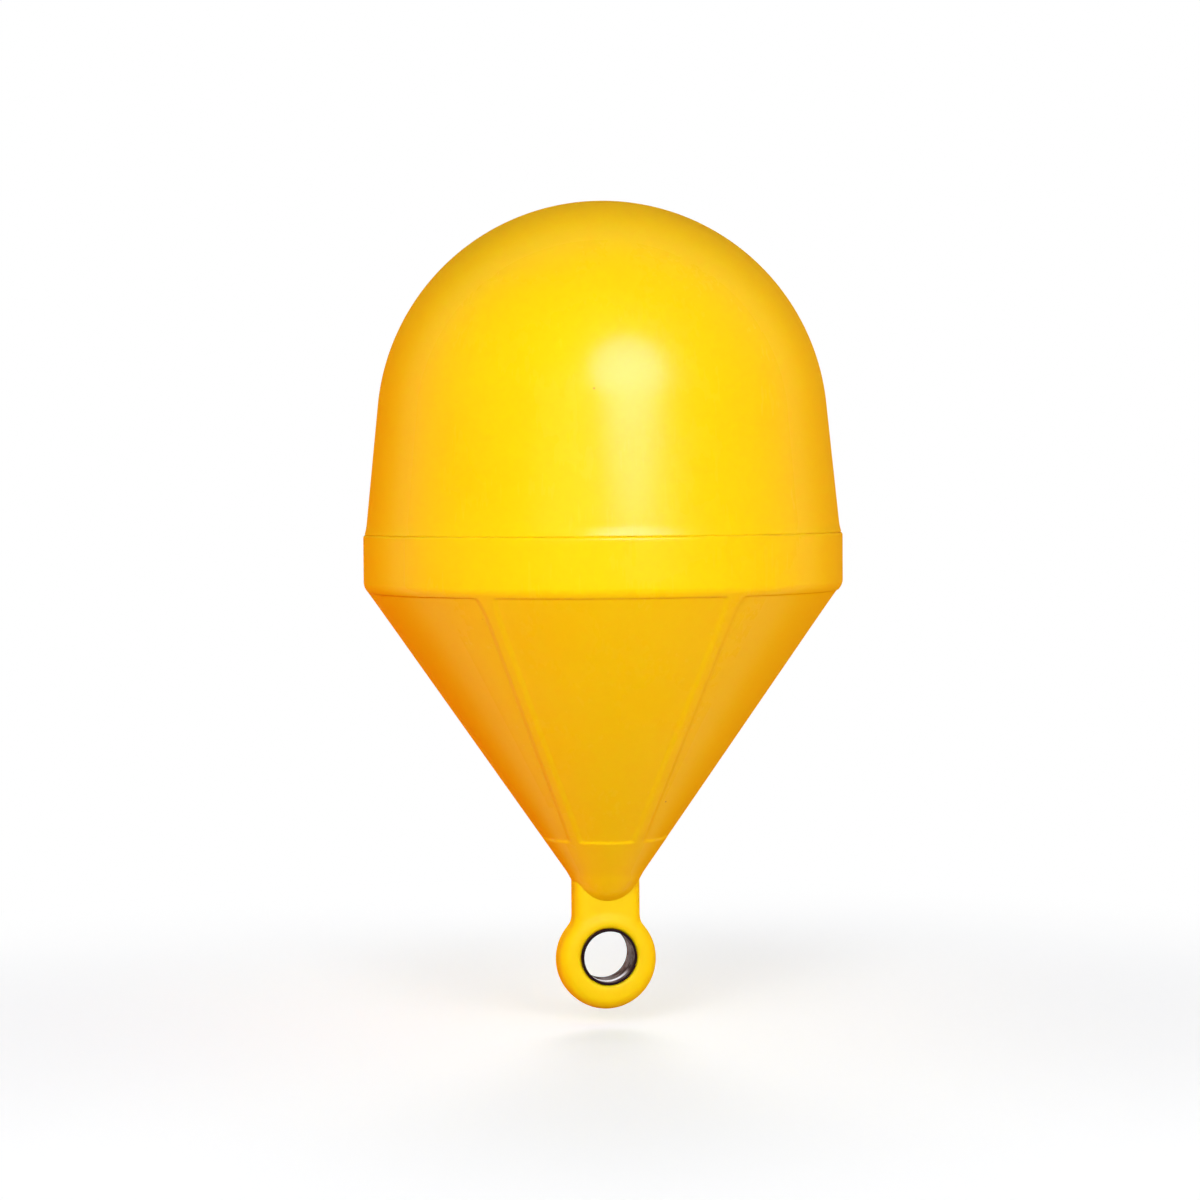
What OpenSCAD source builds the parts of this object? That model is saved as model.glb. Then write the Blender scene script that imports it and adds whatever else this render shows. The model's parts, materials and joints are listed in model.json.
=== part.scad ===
// Sphero-conical navigation buoy: two moulded shells, a moulded mooring eye and its steel bush.
// Millimetres, +Z up. The origin is on the buoy's axis at the waterline, the foot of the belt.
// The hole of the mooring eye runs along Y.

/* [Belt] */
// Diameter over the belt
belt_d = 400; // [340:5:480]
// Height of the belt
belt_h = 43; // [34:1:60]
// Rounding of the belt's lower edge, where the cone begins
belt_foot_round = 12; // [4:1:16]
// Rounding of the belt's upper edge, beside the seam
belt_lip_round = 2.5; // [1:0.1:3.2]
// Wall of the two moulded shells
shell_wall = 5; // [4:0.5:7]

/* [Dome] */
// Height of the dome over the belt
dome_h = 276; // [250:0.5:320]
// Lean of the skirt from the vertical, in degrees
skirt_lean = 5.9; // [4:0.1:7]
// How far the skirt stands in from the belt at its foot
skirt_inset = 2; // [1.5:0.1:3]
// Height of the flare round the foot of the skirt
flare_h = 9; // [5:0.5:16]
// How far the flare stands out from the skirt
flare_out = 0.9; // [0.4:0.1:1.4]
// Height of the flare's upright lip, beside the seam
flare_lip = 1; // [0.6:0.1:2]
// Depth of the spigot that goes down inside the belt
spigot_h = 18; // [10:1:24]
// Wall of the spigot
spigot_wall = 4; // [3:0.5:6]

/* [Cone] */
// Angle of the cone's side from its axis, in degrees
cone_angle = 34.8; // [31:0.1:39]
// Radius of the ball that rounds off the nose
nose_r = 29.5; // [26:0.5:33]
// How far that ball stands out from the cone's side
nose_out = 1.2; // [0.5:0.1:2.5]
// Height of the plain solid nose, from its tip to the foot of the panels
nose_h = 55; // [52:1:70]

/* [Ribs and panels] */
// Number of ribs down the cone
rib_count = 6; // [4:1:10]
// Width of a rib over its crown
rib_w = 8; // [6:0.5:16]
// Lean of a rib's sides from its crown's normal, in degrees
rib_lean = 60; // [10:1:70]
// Turn of the ribs about the axis, from the eye's side to the first rib, in degrees
rib_turn = 20; // [0:1:60]
// Depth of the panels under the ribs
panel_depth = 1.3; // [1:0.1:3.5]
// Length of the sloping step at the head and the foot of a panel
panel_step = 2; // [1:0.1:5]
// Distance down the cone's side from the belt to the panels
panel_drop = 6; // [5:0.5:20]

/* [Mooring eye] */
// Distance from the nose's tip down to the centre of the ring
ring_drop = 47; // [44:1:70]
// Diameter over the ring
ring_d = 84; // [76:1:96]
// Thickness of the ring
ring_t = 32; // [28:1:40]
// Rounding of the ring's outer edges
ring_round = 11; // [5:0.5:13]
// Rounding of the ring's edges round the hole
hole_round = 3.5; // [1:0.5:5]
// How far the hole lies above the centre of the ring
hole_rise = 3; // [0:0.5:4]
// Width of the neck
neck_w = 57; // [46:1:58]
// Thickness of the neck
neck_t = 26; // [20:1:30]
// Rounding of the neck's long edges
neck_round = 9; // [2:0.5:9.5]
// Radius of the fillets between the neck and the ring
neck_fillet = 9; // [4:0.5:14]
// Height of the tang inside the nose, over the nose's tip
tang_h = 45; // [36:1:47]

/* [Eye bush] */
// Outer diameter of the bush
bush_d = 47; // [40:0.1:50]
// Wall of the bush
bush_wall = 2; // [1.6:0.1:4]
// Length of the bush
bush_l = 32; // [26:1:40]

/* [Fits] */
// Gap all round between the spigot and the belt
spigot_gap = 0.25; // [0.1:0.05:0.5]
// Gap all round between the tang and its pocket
tang_gap = 0.25; // [0.1:0.05:0.5]
// Gap all round between the bush and the ring
bush_gap = 0.1; // [0.05:0.05:0.2]

/* [Hidden] */
$fn = 96;

// How far a cutting shape runs past the face it cuts
over = 4;

belt_r = belt_d / 2;
belt_inner_r = belt_r - shell_wall;

// The dome is a part of a ball whose skirt is tangent to it.
skirt_r = belt_r - skirt_inset;
ball_r = (skirt_r * cos(skirt_lean) - dome_h * sin(skirt_lean)) / (1 - sin(skirt_lean));
ball_z = belt_h + dome_h - ball_r;
spigot_r = belt_inner_r - spigot_gap;
spigot_inner_r = spigot_r - spigot_wall;

// The cone runs from the belt's foot to a point that the nose rounds off.
cone_point_z = -belt_r / tan(cone_angle);
nose_seat_r = nose_r - nose_out;
nose_z = cone_point_z + nose_seat_r / sin(cone_angle);
nose_tip_z = nose_z - nose_r;
panel_foot_z = nose_tip_z + nose_h;
panel_foot_s = -panel_foot_z / cos(cone_angle);
belt_foot_tangent = belt_foot_round * tan(cone_angle / 2);
cavity_inset = panel_depth + shell_wall;

ring_r = ring_d / 2;
ring_z = nose_tip_z - ring_drop;
hole_z = ring_z + hole_rise;
hole_r = bush_d / 2 + bush_gap;
tang_top_z = nose_tip_z + tang_h;

// Right half of a profile, from which a turned piece is made
module right_half(reach) {
    intersection() {
        children();
        translate([0, -reach])
            square([reach, 2 * reach]);
    }
}

// Filled profile of the dome, drawn in from its outer face by inset
module dome_profile(inset) {
    r = ball_r - inset;
    tangent = [r * cos(skirt_lean), ball_z + r * sin(skirt_lean)];
    foot = [skirt_r - inset / cos(skirt_lean), belt_h];
    polygon([[0, belt_h], foot, tangent, [0, tangent[1]]]);
    right_half(belt_d + dome_h)
        difference() {
            translate([0, ball_z])
                circle(r);
            translate([-belt_d, tangent[1] - belt_d])
                square([2 * belt_d, belt_d]);
        }
}

// Hollow flare round the foot of the skirt: an upright lip, and an arc that ends a little inside the skirt
module flare_profile() {
    lip_r = skirt_r + flare_out;
    rise = flare_h - flare_lip;
    sink = flare_out / 2;
    run = flare_out + sink + flare_h * tan(skirt_lean);
    hollow_r = (run * run + rise * rise) / (2 * run);
    difference() {
        translate([skirt_r - shell_wall / 2, belt_h])
            square([shell_wall / 2 + flare_out, flare_h]);
        translate([lip_r - run + hollow_r, belt_h + flare_h])
            circle(hollow_r);
    }
}

// Tapered band inside the foot of the dome, and the spigot under it
module spigot_profile() {
    root_h = spigot_h / 2;
    lead_in = spigot_wall / 3;
    polygon([
        [spigot_inner_r, belt_h - spigot_h],
        [spigot_r - lead_in, belt_h - spigot_h],
        [spigot_r, belt_h - spigot_h + lead_in],
        [spigot_r, belt_h + root_h],
        [spigot_inner_r, belt_h]
    ]);
}

module dome() {
    color("gold")
        rotate_extrude() {
            difference() {
                dome_profile(0);
                dome_profile(shell_wall);
            }
            flare_profile();
            spigot_profile();
        }
}

// Filled profile of the belt and the cone, with the nose at its point
module hull_profile() {
    nose_seat = [nose_seat_r * cos(cone_angle), nose_z - nose_seat_r * sin(cone_angle)];
    foot_tangent = belt_foot_tangent * [sin(cone_angle), cos(cone_angle)];
    polygon([
        [0, nose_z],
        nose_seat,
        [belt_r - foot_tangent[0], -foot_tangent[1]],
        [belt_r, belt_foot_tangent],
        [belt_r, belt_h - belt_lip_round],
        [belt_r - belt_lip_round, belt_h],
        [0, belt_h]
    ]);
    translate([belt_r - belt_foot_round, belt_foot_tangent])
        circle(belt_foot_round);
    translate([belt_r - belt_lip_round, belt_h - belt_lip_round])
        circle(belt_lip_round);
    right_half(belt_d)
        translate([0, nose_z])
            circle(nose_r);
}

// Hollow of the lower shell: it follows the panels down to the solid nose
module cavity_profile() {
    inset_r = cavity_inset / cos(cone_angle);
    floor_r = (panel_foot_z - cone_point_z) * tan(cone_angle) - inset_r;
    shoulder_z = (inset_r - shell_wall) / tan(cone_angle);
    polygon([
        [0, panel_foot_z],
        [floor_r, panel_foot_z],
        [belt_inner_r, shoulder_z],
        [belt_inner_r, belt_h + over],
        [0, belt_h + over]
    ]);
}

// Section of the panels' ring: x runs down the cone's side from the belt, y out of it
module panel_profile() {
    translate([belt_r, 0])
        rotate(270 - cone_angle)
            polygon([
                [panel_drop, over],
                [panel_drop, 0],
                [panel_drop + panel_step, -panel_depth],
                [panel_foot_s - panel_step, -panel_depth],
                [panel_foot_s, 0],
                [panel_foot_s, over]
            ]);
}

// One rib as a straight bar down the cone's side, with leaning sides
module rib_bar() {
    below = cavity_inset;
    spread = tan(rib_lean);
    crown = rib_w / 2;
    translate([belt_r, 0, 0])
        rotate([0, 180 + cone_angle, 0])
            rotate([0, 0, 90])
                linear_extrude(panel_foot_s + over)
                    polygon([
                        [-crown - below * spread, -below],
                        [crown + below * spread, -below],
                        [crown, 0],
                        [crown, 2 * over],
                        [-crown, 2 * over],
                        [-crown, 0]
                    ]);
}

// What is taken off the cone: the panels' ring, less the ribs that stay
module panels() {
    difference() {
        rotate_extrude()
            panel_profile();
        for (i = [0 : rib_count - 1])
            rotate([0, 0, rib_turn - 90 + i * 360 / rib_count])
                rib_bar();
    }
}

// Section of the neck, grown by gap for its pocket
module neck_section(gap) {
    w = neck_w + 2 * gap;
    t = neck_t + 2 * gap;
    r = neck_round + gap;
    square([w - 2 * r, t], center = true);
    square([w, t - 2 * r], center = true);
    for (x = [-1, 1], y = [-1, 1])
        translate([x * (w / 2 - r), y * (t / 2 - r)])
            circle(r);
}

module lower_shell() {
    color("orange")
        difference() {
            rotate_extrude()
                difference() {
                    hull_profile();
                    cavity_profile();
                }
            panels();
            translate([0, 0, ring_z])
                linear_extrude(tang_top_z + tang_gap - ring_z)
                    neck_section(tang_gap);
        }
}

// Half section of the ring, as a disc with rounded edges
module ring_profile() {
    square([ring_r - ring_round, ring_t]);
    translate([0, ring_round])
        square([ring_r, ring_t - 2 * ring_round]);
    for (y = [ring_round, ring_t - ring_round])
        translate([ring_r - ring_round, y])
            circle(ring_round);
}

// Half section of what is taken out round the hole: the bore and its rounded edges
module hole_profile() {
    flare_r = hole_r + hole_round;
    translate([0, -over])
        square([hole_r, ring_t + 2 * over]);
    for (end = [0, 1])
        translate([0, end * ring_t])
            mirror([0, end])
                difference() {
                    translate([0, -over])
                        square([flare_r, hole_round + over]);
                    translate([flare_r, hole_round])
                        circle(hole_round);
                }
}

// Fillets where the neck runs out into the ring, seen along the hole
module neck_fillets() {
    reach = ring_r + neck_fillet;
    side = neck_w / 2 + neck_fillet;
    rise = sqrt(reach * reach - side * side);
    touch = side * ring_r / reach;
    for (x = [0, 1])
        mirror([x, 0])
            difference() {
                polygon([[0, 0], [touch, rise * ring_r / reach], [neck_w / 2, rise], [0, rise]]);
                translate([side, rise])
                    circle(neck_fillet);
            }
}

module mooring_eye() {
    web_t = neck_t - neck_round;
    color("yellow")
        difference() {
            union() {
                translate([0, 0, ring_z])
                    linear_extrude(tang_top_z - ring_z)
                        neck_section(0);
                translate([0, ring_t / 2, ring_z])
                    rotate([90, 0, 0])
                        rotate_extrude()
                            ring_profile();
                translate([0, web_t / 2, ring_z])
                    rotate([90, 0, 0])
                        linear_extrude(web_t)
                            neck_fillets();
            }
            translate([0, ring_t / 2, hole_z])
                rotate([90, 0, 0])
                    rotate_extrude()
                        hole_profile();
        }
}

module eye_bush() {
    color("dimgray")
        translate([0, bush_l / 2, hole_z])
            rotate([90, 0, 0])
                difference() {
                    cylinder(h = bush_l, d = bush_d);
                    translate([0, 0, -over])
                        cylinder(h = bush_l + 2 * over, d = bush_d - 2 * bush_wall);
                }
}

dome();
lower_shell();
mooring_eye();
eye_bush();
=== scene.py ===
import json
from math import cos, exp, pi, radians, sin, tan

import bmesh
import bpy
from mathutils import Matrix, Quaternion, Vector


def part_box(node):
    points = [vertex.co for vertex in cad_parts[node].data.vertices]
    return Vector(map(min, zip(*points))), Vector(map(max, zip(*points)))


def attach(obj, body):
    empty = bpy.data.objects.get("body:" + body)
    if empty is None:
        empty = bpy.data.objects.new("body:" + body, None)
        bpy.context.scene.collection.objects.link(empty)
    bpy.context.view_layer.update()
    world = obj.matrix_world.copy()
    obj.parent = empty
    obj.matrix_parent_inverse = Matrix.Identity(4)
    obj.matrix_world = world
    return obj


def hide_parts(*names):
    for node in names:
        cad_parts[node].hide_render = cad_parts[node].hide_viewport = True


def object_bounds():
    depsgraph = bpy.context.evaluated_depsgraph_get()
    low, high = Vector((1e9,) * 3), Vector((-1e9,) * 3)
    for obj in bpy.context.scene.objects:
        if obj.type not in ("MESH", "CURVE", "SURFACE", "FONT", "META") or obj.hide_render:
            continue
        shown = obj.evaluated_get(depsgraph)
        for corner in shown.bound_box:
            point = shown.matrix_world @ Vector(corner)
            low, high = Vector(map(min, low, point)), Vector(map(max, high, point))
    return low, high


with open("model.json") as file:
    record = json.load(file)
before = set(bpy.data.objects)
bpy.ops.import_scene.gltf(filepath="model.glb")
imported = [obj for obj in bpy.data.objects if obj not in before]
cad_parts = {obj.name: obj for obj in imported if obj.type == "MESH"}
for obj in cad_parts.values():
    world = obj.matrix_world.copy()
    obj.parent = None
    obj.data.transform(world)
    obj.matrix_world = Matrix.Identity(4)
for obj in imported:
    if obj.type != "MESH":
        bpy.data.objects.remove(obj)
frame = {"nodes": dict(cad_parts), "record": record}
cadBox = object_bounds()
nodes = frame["nodes"]
mounts = {mount["name"]: mount for mount in frame["record"]["mounts"]}
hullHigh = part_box("lower_shell")[1]
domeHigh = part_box("dome")[1]
bushLow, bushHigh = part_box("eye_bush")
beltRadius = hullHigh.x
beltTop = hullHigh.z
print("frame loaded:", sorted(nodes))


# small helpers for meshes

def addObject(name, data):
    thing = bpy.data.objects.new(name, data)
    bpy.context.scene.collection.objects.link(thing)
    return thing


def makePiece(name, verts, faces):
    mesh = bpy.data.meshes.new(name)
    mesh.from_pydata(verts, [], faces)
    form = bmesh.new()
    form.from_mesh(mesh)
    bmesh.ops.recalc_face_normals(form, faces=form.faces)
    form.to_mesh(mesh)
    form.free()
    mesh.shade_smooth()
    return addObject(name, mesh)


def arcPoints(centre, radius, startAngle, endAngle, steps):
    angles = [radians(startAngle + (endAngle - startAngle) * i / steps) for i in range(steps + 1)]
    return [(centre[0] + radius * cos(a), centre[1] + radius * sin(a)) for a in angles]


# points between two ends, without the ends
def linePoints(start, end, steps):
    return [(start[0] + (end[0] - start[0]) * i / steps, start[1] + (end[1] - start[1]) * i / steps)
            for i in range(1, steps)]


# quads between rings of points that follow one another
def ringFaces(rows, columns):
    faces = []
    for row in range(rows - 1):
        for column in range(columns):
            nextColumn = (column + 1) % columns
            a, b = row * columns + column, row * columns + nextColumn
            faces.append((a, a + columns, b + columns, b))
    return faces


def smoothMin(a, b, reach):
    h = max(reach - abs(a - b), 0.0) / reach
    return min(a, b) - h * h * reach * 0.25


def softStep(x):
    x = min(max(x, 0.0), 1.0)
    return x * x * x * (x * (6 * x - 15) + 10)


# a point on the axis closes the first ring, and another one the last
def closeEnds(verts, faces, columns, firstZ, lastZ):
    lastRing = len(verts) - columns
    first, last = len(verts), len(verts) + 1
    verts += [(0, 0, firstZ), (0, 0, lastZ)]
    for c in range(columns):
        n = (c + 1) % columns
        faces.append((first, c, n))
        faces.append((last, lastRing + n, lastRing + c))


# shape turned about Z, from a profile that starts and ends on the axis
def turnProfile(name, profile, columns):
    rings = profile[1:-1]
    verts = [(r * cos(2 * pi * c / columns), r * sin(2 * pi * c / columns), z)
             for r, z in rings for c in range(columns)]
    faces = ringFaces(len(rings), columns)
    closeEnds(verts, faces, columns, profile[0][1], profile[-1][1])
    return makePiece(name, verts, faces)


# small helpers for node trees

def emptyTree(owner):
    owner.use_nodes = True
    owner.node_tree.nodes.clear()
    return owner.node_tree


def addNode(tree, kind, **values):
    node = tree.nodes.new(kind)
    for key, value in values.items():
        setattr(node, key, value)
    return node


def setInputs(node, **values):
    for key, value in values.items():
        node.inputs[key.replace("_", " ")].default_value = value
    return node


def mathNode(tree, operation, first, second=None):
    node = addNode(tree, "ShaderNodeMath", operation=operation)
    for socket, value in zip(node.inputs, (first, second)):
        if value is None:
            continue
        if isinstance(value, (int, float)):
            socket.default_value = value
        else:
            tree.links.new(value, socket)
    return node.outputs[0]


def rangeNode(tree, value, low, high, toLow=0.0, toHigh=1.0):
    node = addNode(tree, "ShaderNodeMapRange", interpolation_type="SMOOTHSTEP")
    tree.links.new(value, node.inputs["Value"])
    for key, number in (("From Min", low), ("From Max", high), ("To Min", toLow), ("To Max", toHigh)):
        node.inputs[key].default_value = number
    return node.outputs[0]


# inputs 6 and 7 and output 2 are the colour sockets of a Mix node
def mixColor(tree, factor, first, second):
    node = addNode(tree, "ShaderNodeMix", data_type="RGBA")
    for socket, value in ((node.inputs["Factor"], factor), (node.inputs[6], first), (node.inputs[7], second)):
        if isinstance(value, bpy.types.NodeSocket):
            tree.links.new(value, socket)
        else:
            socket.default_value = value
    return node.outputs[2]


def noiseNode(tree, vector, scale, detail=2.0, roughness=0.5):
    node = addNode(tree, "ShaderNodeTexNoise")
    setInputs(node, Scale=scale, Detail=detail, Roughness=roughness)
    tree.links.new(vector, node.inputs["Vector"])
    return node.outputs["Fac"]


# shared effects as node groups

def newGroup(name, inputs, outputs):
    group = bpy.data.node_groups.new(name, "ShaderNodeTree")
    for socketName, kind, value in inputs:
        socket = group.interface.new_socket(socketName, in_out="INPUT", socket_type=kind)
        socket.default_value = value
    for socketName, kind in outputs:
        group.interface.new_socket(socketName, in_out="OUTPUT", socket_type=kind)
    return group, group.nodes.new("NodeGroupInput"), group.nodes.new("NodeGroupOutput")


# pigment of the moulded plastic: cloudy tone and a few dark specks
pigmentShape = {
    "broadScale": 7.0, "broadFrom": 0.35, "broadTo": 0.70,
    "fineScale": 160.0, "fineFrom": 0.40, "fineTo": 0.75, "fineShare": 0.5,
    "speckScale": 38.0, "speckCore": 0.020, "speckRim": 0.045,
    "choiceScale": 21.0, "choiceFrom": 0.60, "choiceTo": 0.66,   # only some places have specks
}


def makePigmentGroup(shape):
    group, inside, outside = newGroup(
        "pigmentClouds",
        [("Color", "NodeSocketColor", (1, 1, 1, 1)), ("Deep Color", "NodeSocketColor", (0.5, 0.5, 0.5, 1)),
         ("Speck Color", "NodeSocketColor", (0.1, 0.05, 0.01, 1)), ("Clouds", "NodeSocketFloat", 0.4),
         ("Specks", "NodeSocketFloat", 0.5)],
        [("Color", "NodeSocketColor")])
    where = addNode(group, "ShaderNodeTexCoord").outputs["Object"]
    broadNoise = noiseNode(group, where, shape["broadScale"], detail=3.0)
    broad = rangeNode(group, broadNoise, shape["broadFrom"], shape["broadTo"])
    fineNoise = noiseNode(group, where, shape["fineScale"], detail=3.0, roughness=0.6)
    fine = rangeNode(group, fineNoise, shape["fineFrom"], shape["fineTo"], 0.0, shape["fineShare"])
    clouds = mathNode(group, "MULTIPLY", mathNode(group, "ADD", broad, fine), inside.outputs["Clouds"])
    toned = mixColor(group, clouds, inside.outputs["Color"], inside.outputs["Deep Color"])
    cells = addNode(group, "ShaderNodeTexVoronoi")
    setInputs(cells, Scale=shape["speckScale"], Randomness=1.0)
    group.links.new(where, cells.inputs["Vector"])
    choiceNoise = noiseNode(group, where, shape["choiceScale"], detail=0.0)
    chosen = rangeNode(group, choiceNoise, shape["choiceFrom"], shape["choiceTo"])
    spot = rangeNode(group, cells.outputs["Distance"], shape["speckCore"], shape["speckRim"], 1.0, 0.0)
    specks = mathNode(group, "MULTIPLY", mathNode(group, "MULTIPLY", spot, chosen), inside.outputs["Specks"])
    group.links.new(mixColor(group, specks, toned, inside.outputs["Speck Color"]), outside.inputs["Color"])
    return group


# skin of the moulding: slow waviness, fine grain and faint rub marks
skinShape = {
    "waveScale": 11.0, "grainScale": 620.0,
    "rubStretch": (260.0, 260.0, 14.0), "rubFrom": 0.45, "rubTo": 0.75, "rubShare": 0.5,
    "patchScale": 16.0, "patchFrom": 0.40, "patchTo": 0.70,
}


def makeSkinGroup(shape):
    group, inside, outside = newGroup(
        "mouldSkin",
        [("Gloss", "NodeSocketFloat", 0.3), ("Gloss Spread", "NodeSocketFloat", 0.1),
         ("Wave", "NodeSocketFloat", 1.0), ("Grain", "NodeSocketFloat", 1.0)],
        [("Roughness", "NodeSocketFloat"), ("Height", "NodeSocketFloat")])
    where = addNode(group, "ShaderNodeTexCoord").outputs["Object"]
    waveNoise = noiseNode(group, where, shape["waveScale"], detail=1.0)
    grainNoise = noiseNode(group, where, shape["grainScale"], detail=2.0)
    wave = mathNode(group, "MULTIPLY", waveNoise, inside.outputs["Wave"])
    grain = mathNode(group, "MULTIPLY", grainNoise, inside.outputs["Grain"])
    group.links.new(mathNode(group, "ADD", wave, grain), outside.inputs["Height"])
    stretch = addNode(group, "ShaderNodeMapping")
    stretch.inputs["Scale"].default_value = shape["rubStretch"]
    group.links.new(where, stretch.inputs["Vector"])
    rubNoise = noiseNode(group, stretch.outputs[0], scale=1.0, detail=2.0)
    rubs = rangeNode(group, rubNoise, shape["rubFrom"], shape["rubTo"])
    patchNoise = noiseNode(group, where, shape["patchScale"], detail=3.0)
    patches = rangeNode(group, patchNoise, shape["patchFrom"], shape["patchTo"])
    spread = mathNode(group, "ADD", mathNode(group, "MULTIPLY", rubs, shape["rubShare"]), patches)
    shift = mathNode(group, "MULTIPLY", spread, inside.outputs["Gloss Spread"])
    group.links.new(mathNode(group, "ADD", inside.outputs["Gloss"], shift), outside.inputs["Roughness"])
    return group


pigmentGroup = makePigmentGroup(pigmentShape)
skinGroup = makeSkinGroup(skinShape)
print("plastic groups made")


def newMaterial(name):
    material = bpy.data.materials.new(name)
    tree = emptyTree(material)
    shader = addNode(tree, "ShaderNodeBsdfPrincipled")
    output = addNode(tree, "ShaderNodeOutputMaterial")
    tree.links.new(shader.outputs[0], output.inputs["Surface"])
    return material, tree, shader


def placeGroup(tree, group, **values):
    node = addNode(tree, "ShaderNodeGroup", node_tree=group)
    return setInputs(node, **values)


# yellow plastic of the shells and the eye
shellLook = {
    "color": (0.92, 0.75, 0.002, 1), "deepColor": (0.90, 0.68, 0.002, 1), "speckColor": (0.25, 0.10, 0.01, 1),
    "clouds": 0.35, "specks": 0.5,
    "roughness": 0.23, "roughSpread": 0.07, "wave": 1.0, "grain": 0.02, "bump": 0.25, "bumpDepth": 0.0008,
    "ior": 1.5, "specular": 0.14, "specularTint": (1.0, 0.92, 0.7, 1),
    "edgeBlend": 0.5, "edgeFrom": 0.25, "edgeTo": 0.80, "edgeRoughness": 1.0,
    "glow": 0.2, "glowRadius": (1.0, 0.4, 0.1), "glowScale": 0.01,
}


def yellowPlastic(name, look):
    material, tree, shader = newMaterial(name)
    pigment = placeGroup(tree, pigmentGroup, Color=look["color"], Deep_Color=look["deepColor"],
                         Speck_Color=look["speckColor"], Clouds=look["clouds"], Specks=look["specks"])
    skin = placeGroup(tree, skinGroup, Gloss=look["roughness"], Gloss_Spread=look["roughSpread"],
                      Wave=look["wave"], Grain=look["grain"])
    bump = addNode(tree, "ShaderNodeBump")
    setInputs(bump, Strength=look["bump"], Distance=look["bumpDepth"])
    tree.links.new(skin.outputs["Height"], bump.inputs["Height"])
    tree.links.new(pigment.outputs["Color"], shader.inputs["Base Color"])
    # the gloss fades where the skin turns away
    turned = setInputs(addNode(tree, "ShaderNodeLayerWeight"), Blend=look["edgeBlend"]).outputs["Facing"]
    matte = rangeNode(tree, turned, look["edgeFrom"], look["edgeTo"], 0.0, look["edgeRoughness"])
    tree.links.new(mathNode(tree, "MAXIMUM", skin.outputs["Roughness"], matte), shader.inputs["Roughness"])
    tree.links.new(bump.outputs[0], shader.inputs["Normal"])
    setInputs(shader, IOR=look["ior"], Specular_IOR_Level=look["specular"],
              Specular_Tint=look["specularTint"])
    setInputs(shader, Subsurface_Weight=look["glow"], Subsurface_Radius=look["glowRadius"],
              Subsurface_Scale=look["glowScale"])
    return material


# dome: skirt with a flare at its foot, and a ball-shaped top tangent to it
domeShape = {
    "skirtLean": 5.9, "skirtInset": 0.002, "flareHeight": 0.009, "flareOut": 0.0010,
    "edgeRound": 0.0006, "edgeEnd": -12,
    "columns": 256, "footSteps": 12, "edgeSteps": 4, "flareSteps": 10, "skirtSteps": 34, "ballSteps": 90,
}


def domeProfile(shape):
    lean = radians(shape["skirtLean"])
    skirtRadius = beltRadius - shape["skirtInset"]
    height = domeHigh.z - beltTop
    ballRadius = (skirtRadius * cos(lean) - height * sin(lean)) / (1 - sin(lean))
    ballZ = domeHigh.z - ballRadius
    edge, out, rise = shape["edgeRound"], shape["flareOut"], shape["flareHeight"]
    flareSteps = shape["flareSteps"]

    def onSkirt(h):
        flare = out * max(1 - h / rise, 0.0) ** 2
        return (skirtRadius - h * tan(lean) + flare, beltTop + h)

    lip = onSkirt(edge)[0]
    tangent = (ballRadius * cos(lean), ballZ + ballRadius * sin(lean))
    points = [(0.0, beltTop)]
    points += linePoints((0, beltTop), (lip - edge, beltTop), shape["footSteps"])
    points += arcPoints((lip - edge, beltTop + edge), edge, -90, shape["edgeEnd"], shape["edgeSteps"])
    points += [onSkirt(edge + (rise - edge) * k / flareSteps) for k in range(flareSteps + 1)]
    points += linePoints(onSkirt(rise), tangent, shape["skirtSteps"])
    points += arcPoints((0, ballZ), ballRadius, shape["skirtLean"], 90, shape["ballSteps"])
    points[-1] = (0.0, domeHigh.z)
    return points


dome = turnProfile("dome_shell", domeProfile(domeShape), domeShape["columns"])
dome.data.materials.append(yellowPlastic("domePlastic", shellLook))
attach(dome, "root")
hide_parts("dome")
print("dome made:", len(dome.data.polygons), "faces")


# lower shell: belt, cone with ribs and sunk panels, rounded nose
hullShape = {
    "footRound": 0.012, "lipRound": 0.0025, "coneAngle": 34.8,
    "noseRadius": 0.0295, "noseOut": 0.0012, "noseHeight": 0.055, "noseBlend": 0.004,
    "noseStart": 28, "noseFade": 0.3, "leastBlend": 0.00001,
    "ribCount": 6, "ribTurn": 20, "ribWidth": 0.003, "ribFlare": 0.004, "ribFlareRun": 0.010,
    "panelDepth": 0.0013, "panelDrop": 0.0055, "panelCorner": 0.6, "ribRun": 0.0075, "endRun": 0.0022,
    "nearRib": 0.016, "nearShare": 0.60, "rowGap": 0.0004, "endZone": 0.018, "belowPanel": 0.004,
    "topSteps": 12, "lipSteps": 6, "beltSteps": 12, "footSteps": 8, "endSteps": 26, "coneSteps": 90,
    "noseSteps": 40, "nearSteps": 20, "farSteps": 12,
}


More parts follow.
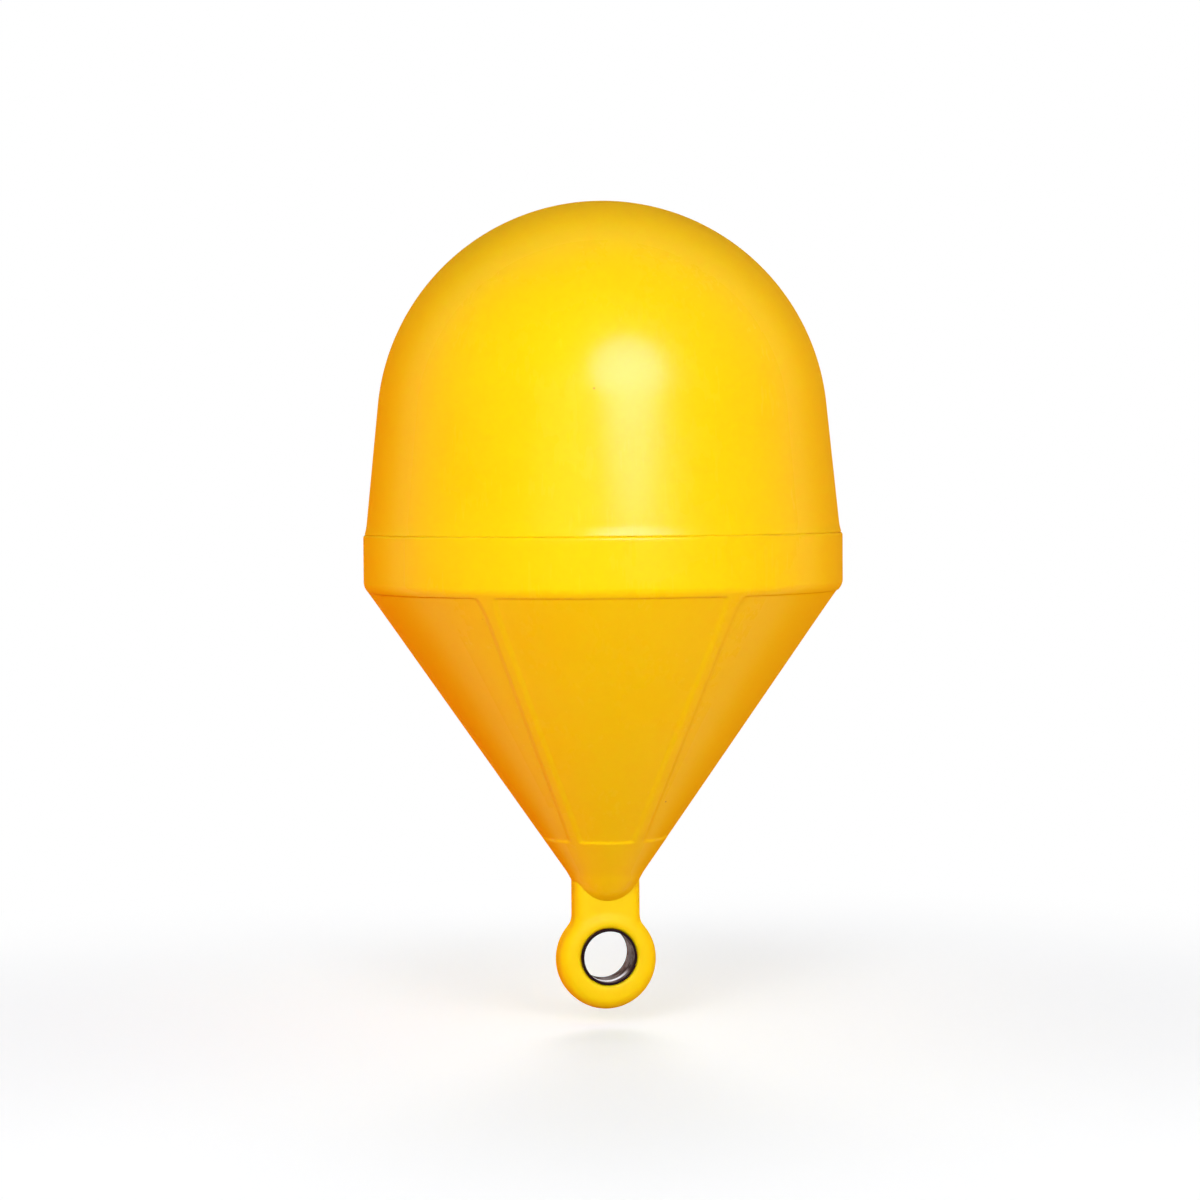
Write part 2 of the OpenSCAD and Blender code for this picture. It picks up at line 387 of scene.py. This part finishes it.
# rows of radius, height and, on the cone, the way down from the belt
def hullRows(shape):
    angle = radians(shape["coneAngle"])
    lip, foot = shape["lipRound"], shape["footRound"]
    footTangent = foot * tan(angle / 2)
    pointZ = -beltRadius / tan(angle)
    noseZ = pointZ + (shape["noseRadius"] - shape["noseOut"]) / sin(angle)
    tipZ = noseZ - shape["noseRadius"]
    panelFoot = -(tipZ + shape["noseHeight"]) / cos(angle)

    def onCone(s):
        return (beltRadius - s * sin(angle), -s * cos(angle))

    beltPoints = linePoints((0, beltTop), (beltRadius - lip, beltTop), shape["topSteps"])
    beltPoints += arcPoints((beltRadius - lip, beltTop - lip), lip, 90, 0, shape["lipSteps"])
    beltPoints += linePoints((beltRadius, beltTop - lip), (beltRadius, footTangent), shape["beltSteps"])
    footCentre = (beltRadius - foot, footTangent)
    beltPoints += arcPoints(footCentre, foot, 0, -shape["coneAngle"], shape["footSteps"])
    rows = [(0.0, beltTop, None)]
    rows += [(r, z, None) for r, z in beltPoints]
    # finer rows at the head and foot of the panels
    headEnd = shape["panelDrop"] + shape["endZone"]
    footStart = panelFoot - shape["endZone"]
    coneEnd = panelFoot + shape["belowPanel"]
    ends = [footTangent + shape["rowGap"], headEnd, footStart, coneEnd]
    counts = [shape["endSteps"], shape["coneSteps"], shape["endSteps"]]
    for start, end, count in zip(ends, ends[1:], counts):
        for i in range(count):
            s = start + (end - start) * i / count
            rows.append((*onCone(s), s))
    # the ball of the nose grows out of the cone
    startAngle, steps = shape["noseStart"], shape["noseSteps"]
    for i in range(steps + 1):
        a = radians(startAngle + (-90 - startAngle) * i / steps)
        ball = (shape["noseRadius"] * cos(a), noseZ + shape["noseRadius"] * sin(a))
        cone = (ball[1] - pointZ) * tan(angle)
        reach = shape["noseBlend"] * min(max((a + angle) / shape["noseFade"], 0.0), 1.0)
        r = -smoothMin(-ball[0], -cone, reach) if reach > shape["leastBlend"] else ball[0]
        if ball[1] < -coneEnd * cos(angle) - shape["rowGap"]:
            rows.append((r, ball[1], None))
    rows[-1] = (0.0, tipZ, None)
    return rows, panelFoot, angle


# columns of one rib's sector: close together near the rib, wider over the panels
def hullSector(shape):
    near = [shape["nearRib"] * i / shape["nearSteps"] for i in range(1, shape["nearSteps"] + 1)]
    far = [i / shape["farSteps"] for i in range(1, shape["farSteps"])]
    side = [("near", t) for t in near] + [("far", f) for f in far]
    mirrored = [(kind, -value) for kind, value in reversed(side)]
    return [("far", -1.0)] + mirrored + [("near", 0.0)] + side


# how far the panel is sunk, s down the cone and t from the middle of the rib
def panelSink(shape, s, t, panelFoot):
    flare = shape["ribFlare"] * exp(-max(s - shape["panelDrop"], 0.0) / shape["ribFlareRun"])
    inRib = (t - shape["ribWidth"] / 2 - flare) / shape["ribRun"]
    inRow = min(s - shape["panelDrop"], panelFoot - s) / shape["endRun"]
    return shape["panelDepth"] * softStep(smoothMin(inRib, inRow, shape["panelCorner"]))


def makeHull(shape):
    rows, panelFoot, angle = hullRows(shape)
    sector = hullSector(shape)
    half = pi / shape["ribCount"]
    columns = len(sector) * shape["ribCount"]
    narrow = half * shape["nearShare"]
    verts = []
    for r, z, s in rows[1:-1]:
        reach = min(shape["nearRib"], narrow * r)
        squeeze = reach / shape["nearRib"]
        for rib in range(shape["ribCount"]):
            ribAngle = radians(shape["ribTurn"] - 90) + 2 * half * rib
            for kind, value in sector:
                sign = -1 if value < 0 else 1
                if kind == "near":
                    t = abs(value) * squeeze
                else:
                    t = reach + (half * r - reach) * abs(value)
                turn = sign * t / r
                sunk = 0.0 if s is None else panelSink(shape, s, t, panelFoot)
                rr, zz = r - sunk * cos(angle), z + sunk * sin(angle)
                verts.append((rr * cos(ribAngle + turn), rr * sin(ribAngle + turn), zz))
    faces = ringFaces(len(rows) - 2, columns)
    closeEnds(verts, faces, columns, rows[0][1], rows[-1][1])
    return makePiece("lower_shell_skin", verts, faces)


hull = makeHull(hullShape)
hull.data.materials.append(yellowPlastic("hullPlastic", shellLook))
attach(hull, "root")
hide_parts("lower_shell")
print("lower shell made:", len(hull.data.polygons), "faces")


# mooring eye: the solid's own form with its inner corners run together
eyeShape = {"voxel": 0.0009, "smoothing": 0.5, "rounds": 45}


def makeEye(shape):
    mesh = nodes["mooring_eye"].data.copy()
    mesh.name = "mooring_eye_skin"
    mesh.materials.clear()
    piece = addObject("mooring_eye_skin", mesh)
    remesh = piece.modifiers.new("even", "REMESH")
    remesh.mode = "VOXEL"
    remesh.voxel_size = shape["voxel"]
    remesh.use_smooth_shade = True
    soften = piece.modifiers.new("soften", "SMOOTH")
    soften.factor = shape["smoothing"]
    soften.iterations = shape["rounds"]
    return piece


# the eye is the same plastic as the shells, more matt; its paler colour is painted light, brightening it
eyeLookPaintedPaler = dict(shellLook, color=(0.91, 0.80, 0.002, 1), deepColor=(0.89, 0.73, 0.002, 1), roughness=0.55)
eye = makeEye(eyeShape)
eye.data.materials.append(yellowPlastic("eyePlasticPaintedPaler", eyeLookPaintedPaler))
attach(eye, "root")
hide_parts("mooring_eye")
print("mooring eye made")


# steel bush: a cut length of tube with its edges broken
bushShape = {"edge": 0.0006, "columns": 128, "edgeSteps": 3, "wallSteps": 10, "endSteps": 3}


def makeBush(shape):
    outer = (bushHigh.x - bushLow.x) / 2
    inner = mounts["mooring_eye"]["dims"]["r_mm"] / 1000
    half = (bushHigh.y - bushLow.y) / 2
    edge = shape["edge"]
    corners = [((outer - edge, half - edge), 90, 0), ((outer - edge, -half + edge), 0, -90),
               ((inner + edge, -half + edge), -90, -180), ((inner + edge, half - edge), -180, -270)]
    # the wall's outline: a rounded corner, then a straight run to the next one
    loop = []
    for index, (corner, start, end) in enumerate(corners):
        loop += arcPoints(corner, edge, start, end, shape["edgeSteps"])
        nextCorner, nextStart = corners[(index + 1) % len(corners)][:2]
        a = arcPoints(corner, edge, end, end, 1)[0]
        b = arcPoints(nextCorner, edge, nextStart, nextStart, 1)[0]
        loop += linePoints(a, b, shape["wallSteps"] if index % 2 == 0 else shape["endSteps"])
    columns = shape["columns"]
    centre = (bushLow + bushHigh) / 2
    angles = [2 * pi * c / columns for c in range(columns)]
    verts = [(centre.x + r * cos(a), centre.y + y, centre.z + r * sin(a)) for r, y in loop for a in angles]
    faces = ringFaces(len(loop), columns)
    lastRow = (len(loop) - 1) * columns
    for c in range(columns):
        n = (c + 1) % columns
        faces.append((lastRow + c, c, n, lastRow + n))
    return makePiece("eye_bush_tube", verts, faces)


bushLook = {
    "steel": (0.16, 0.095, 0.075, 1), "stain": (0.07, 0.03, 0.02, 1), "dark": (0.014, 0.006, 0.006, 1),
    "worn": (0.90, 0.88, 0.90, 1), "roughness": 0.34, "stainRoughness": 0.65, "wornRoughness": 0.22,
    "ringStretch": (60.0, 420.0, 60.0), "streakFrom": 0.45, "streakTo": 0.62,
    "patchScale": 85.0, "stainFrom": 0.38, "stainTo": 0.62,
    "endStart": 0.0146, "endFull": 0.0156, "endRoughness": 0.6,
    "wornPlace": 0.006, "wornInner": 0.0030, "wornOuter": 0.0044, "wornRagged": 0.0012,
    "wornLow": 0.0195, "wornHigh": 0.0105, "brownMetal": 0.05, "brownGloss": 0.06,
    "bump": 0.35, "bumpDepth": 0.0003,
}


# dark on the cut ends, browned inside, bright where a shackle rubs on the lower side
def steelTube(name, look):
    material, tree, shader = newMaterial(name)
    where = addNode(tree, "ShaderNodeTexCoord").outputs["Object"]
    stretch = addNode(tree, "ShaderNodeMapping")
    stretch.inputs["Scale"].default_value = look["ringStretch"]   # rings round the tube
    tree.links.new(where, stretch.inputs["Vector"])
    rings = noiseNode(tree, stretch.outputs[0], scale=1.0, detail=3.0)
    patches = noiseNode(tree, where, look["patchScale"], detail=4.0, roughness=0.6)
    stain = rangeNode(tree, patches, look["stainFrom"], look["stainTo"])
    browned = mixColor(tree, stain, look["steel"], look["stain"])
    streaks = rangeNode(tree, rings, look["streakFrom"], look["streakTo"])
    streaked = mixColor(tree, streaks, browned, look["dark"])
    place = addNode(tree, "ShaderNodeSeparateXYZ")
    tree.links.new(where, place.inputs[0])
    # the rub mark runs round the lower half, a little in from the front end
    fromMark = mathNode(tree, "ABSOLUTE", mathNode(tree, "ADD", place.outputs["Y"], look["wornPlace"]))
    ragged = mathNode(tree, "ADD", fromMark, mathNode(tree, "MULTIPLY", patches, look["wornRagged"]))
    mark = rangeNode(tree, ragged, look["wornInner"], look["wornOuter"], 1.0, 0.0)
    axisZ = (bushLow.z + bushHigh.z) / 2
    lower = rangeNode(tree, place.outputs["Z"], axisZ - look["wornLow"], axisZ - look["wornHigh"], 1.0, 0.0)
    worn = mathNode(tree, "MULTIPLY", mark, lower)
    rubbed = mixColor(tree, worn, streaked, look["worn"])
    end = rangeNode(tree, mathNode(tree, "ABSOLUTE", place.outputs["Y"]), look["endStart"], look["endFull"])
    rough = rangeNode(tree, stain, 0.0, 1.0, look["roughness"], look["stainRoughness"])
    polish = mathNode(tree, "MULTIPLY", worn, look["roughness"] - look["wornRoughness"])
    smoothed = mathNode(tree, "SUBTRACT", rough, polish)
    endRough = mathNode(tree, "MULTIPLY", end, look["endRoughness"])
    bump = addNode(tree, "ShaderNodeBump")
    setInputs(bump, Strength=look["bump"], Distance=look["bumpDepth"])
    tree.links.new(rings, bump.inputs["Height"])
    tree.links.new(mixColor(tree, end, rubbed, look["dark"]), shader.inputs["Base Color"])
    tree.links.new(mathNode(tree, "MAXIMUM", smoothed, endRough), shader.inputs["Roughness"])
    tree.links.new(bump.outputs[0], shader.inputs["Normal"])
    tree.links.new(rangeNode(tree, worn, 0.0, 1.0, look["brownMetal"], 1.0), shader.inputs["Metallic"])
    setInputs(shader, Specular_IOR_Level=look["brownGloss"])
    return material


bush = makeBush(bushShape)
bush.data.materials.append(steelTube("bushSteel", bushLook))
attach(bush, "root")
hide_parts("eye_bush")
print("bush made")


# camera, from a little above the belt and to the left of the eye's axis
viewPoint = {
    "azimuth": -12.0, "distance": 2.5, "height": 0.081, "lens": 89.6, "sensor": 36.0, "roll": -0.4,
    "aimHeight": -0.0132, "aimSide": -0.0028,
}


def aroundAxis(azimuth, distance, height):
    a = radians(azimuth)
    return Vector((sin(a) * distance, -cos(a) * distance, height))


def makeCamera(look):
    data = bpy.data.cameras.new("studioCamera")
    data.lens = look["lens"]
    data.sensor_width = look["sensor"]
    camera = addObject("studioCamera", data)
    a = radians(look["azimuth"])
    camera.location = aroundAxis(look["azimuth"], look["distance"], look["height"])
    aim = Vector((cos(a) * look["aimSide"], sin(a) * look["aimSide"], look["aimHeight"]))
    turn = (aim - camera.location).to_track_quat("-Z", "Y")
    camera.rotation_mode = "QUATERNION"
    camera.rotation_quaternion = turn @ Quaternion((0, 0, 1), radians(look["roll"]))
    bpy.context.scene.camera = camera


makeCamera(viewPoint)
print("camera made")


# floor and background; the floor lies a gap below the eye and turns plain white farther off
stageLook = {
    "floorSize": 40.0, "gap": 0.015, "nearWhite": 0.35, "farWhite": 0.95,
    "floorColor": (0.8, 0.8, 0.8, 1), "lift": (0.18, 0.395, 0.46, 1),
    "airAbove": (0.33, 0.075, 0.025, 1), "airBelow": (0.42, 0.09, 0.03, 1), "airBlend": 0.5,
}


def seenRay(tree):
    path = addNode(tree, "ShaderNodeLightPath")
    seen = mathNode(tree, "MAXIMUM", path.outputs["Is Camera Ray"], path.outputs["Is Glossy Ray"])
    return mathNode(tree, "MAXIMUM", seen, path.outputs["Is Transmission Ray"])


def mixShaders(tree, factor, first, second):
    node = addNode(tree, "ShaderNodeMixShader")
    for socket, value in zip(node.inputs, (factor, first, second)):
        tree.links.new(value, socket)
    return node.outputs[0]


def floorPaint(look):
    material = bpy.data.materials.new("studioFloor")
    tree = emptyTree(material)
    seen = seenRay(tree)
    # near the buoy: grey paint that takes the shadow, lifted to white where it is seen
    paint = setInputs(addNode(tree, "ShaderNodeBsdfDiffuse"), Color=look["floorColor"])
    lift = setInputs(addNode(tree, "ShaderNodeEmission"), Color=look["lift"])
    tree.links.new(seen, lift.inputs["Strength"])
    near = addNode(tree, "ShaderNodeAddShader")
    tree.links.new(paint.outputs[0], near.inputs[0])
    tree.links.new(lift.outputs[0], near.inputs[1])
    white = setInputs(addNode(tree, "ShaderNodeEmission"), Strength=1.0)
    where = addNode(tree, "ShaderNodeTexCoord").outputs["Object"]
    flat = addNode(tree, "ShaderNodeVectorMath", operation="MULTIPLY")
    flat.inputs[1].default_value = (1, 1, 0)
    tree.links.new(where, flat.inputs[0])
    away = addNode(tree, "ShaderNodeVectorMath", operation="LENGTH")
    tree.links.new(flat.outputs[0], away.inputs[0])
    fade = rangeNode(tree, away.outputs["Value"], look["nearWhite"], look["farWhite"])
    top = mixShaders(tree, mathNode(tree, "MULTIPLY", fade, seen), near.outputs[0], white.outputs[0])
    # open from below, so that the underside of the buoy can be looked at
    backfacing = addNode(tree, "ShaderNodeNewGeometry").outputs["Backfacing"]
    clear = addNode(tree, "ShaderNodeBsdfTransparent").outputs[0]
    output = addNode(tree, "ShaderNodeOutputMaterial")
    tree.links.new(mixShaders(tree, backfacing, top, clear), output.inputs["Surface"])
    return material


def makeFloor(look):
    half = look["floorSize"] / 2
    z = cadBox[0].z - look["gap"]
    corners = [(-half, -half, z), (half, -half, z), (half, half, z), (-half, half, z)]
    mesh = bpy.data.meshes.new("studio_floor")
    mesh.from_pydata(corners, [], [(0, 1, 2, 3)])
    floor = addObject("studio_floor", mesh)
    floor.data.materials.append(floorPaint(look))
    floor.visible_diffuse = False   # the air lights the cone from below as well
    floor.visible_shadow = False


def makeWorld(look):
    world = bpy.data.worlds.new("studioAir")
    bpy.context.scene.world = world
    tree = emptyTree(world)
    # the air is warm, and a little brighter from below
    place = addNode(tree, "ShaderNodeSeparateXYZ")
    tree.links.new(addNode(tree, "ShaderNodeTexCoord").outputs["Generated"], place.inputs[0])
    up = rangeNode(tree, place.outputs["Z"], -look["airBlend"], look["airBlend"])
    air = setInputs(addNode(tree, "ShaderNodeBackground"), Strength=1.0)
    tree.links.new(mixColor(tree, up, look["airBelow"], look["airAbove"]), air.inputs["Color"])
    white = setInputs(addNode(tree, "ShaderNodeBackground"), Color=(1, 1, 1, 1), Strength=1.0)
    output = addNode(tree, "ShaderNodeOutputWorld")
    sky = mixShaders(tree, seenRay(tree), air.outputs[0], white.outputs[0])
    tree.links.new(sky, output.inputs["Surface"])


makeFloor(stageLook)
makeWorld(stageLook)
print("floor and background made")


# soft boxes; azimuth is counted from the camera, elevation from the middle of the dome
lamps = {
    "window": {"azimuth": 14, "elevation": 24, "distance": 2.0,
               "width": 1.25, "height": 1.15, "power": 116, "color": (0.27, 0.41, 1.0)},
    "topBox": {"azimuth": 0, "elevation": 55, "distance": 4.0,
               "width": 1.0, "height": 1.0, "power": 15, "color": (1, 1, 1)},
    "leftBox": {"azimuth": -19, "elevation": 11, "distance": 2.2,
                "width": 1.0, "height": 0.9, "power": 24, "color": (1, 1, 1)},
    "rightBox": {"azimuth": 24, "elevation": 4, "distance": 2.2,
                 "width": 1.0, "height": 0.6, "power": 19.8, "color": (1, 1, 1)},
    "sideBox": {"azimuth": 100, "elevation": -22, "distance": 2.2,
                "width": 0.8, "height": 0.6, "power": 12.5, "color": (1.0, 0.55, 0.30)},
    "warmBox": {"azimuth": -100, "elevation": -28, "distance": 2.2,
                "width": 1.0, "height": 0.3, "power": 14.5, "color": (1.0, 0.16, 0.04)},
    "backBox": {"azimuth": 180, "elevation": 20, "distance": 2.6,
                "width": 1.6, "height": 1.0, "power": 38, "color": (1, 1, 1)},
    "rearBox": {"azimuth": -165, "elevation": -12, "distance": 2.2,
                "width": 1.0, "height": 0.8, "power": 22, "color": (1, 1, 1)},
}


def makeLamp(name, look):
    data = bpy.data.lights.new(name, "AREA")
    data.shape = "ELLIPSE" if name == "window" else "RECTANGLE"
    data.size = look["width"]
    data.size_y = look["height"]
    data.energy = look["power"]
    data.color = look["color"]
    lamp = addObject(name, data)
    lamp.visible_glossy = name == "window"   # the window makes the highlight, the boxes the shading
    lamp.visible_diffuse = name != "window"
    middle = Vector((0, 0, (beltTop + domeHigh.z) / 2))
    e = radians(look["elevation"])
    flatDistance, rise = look["distance"] * cos(e), look["distance"] * sin(e)
    away = aroundAxis(viewPoint["azimuth"] + look["azimuth"], flatDistance, rise)
    lamp.location = middle + away
    lamp.rotation_mode = "QUATERNION"
    lamp.rotation_quaternion = (-away).to_track_quat("-Z", "Y")


for lampName, lampLook in lamps.items():
    makeLamp(lampName, lampLook)
bpy.context.scene.view_settings.view_transform = "Standard"
print("lamps made")
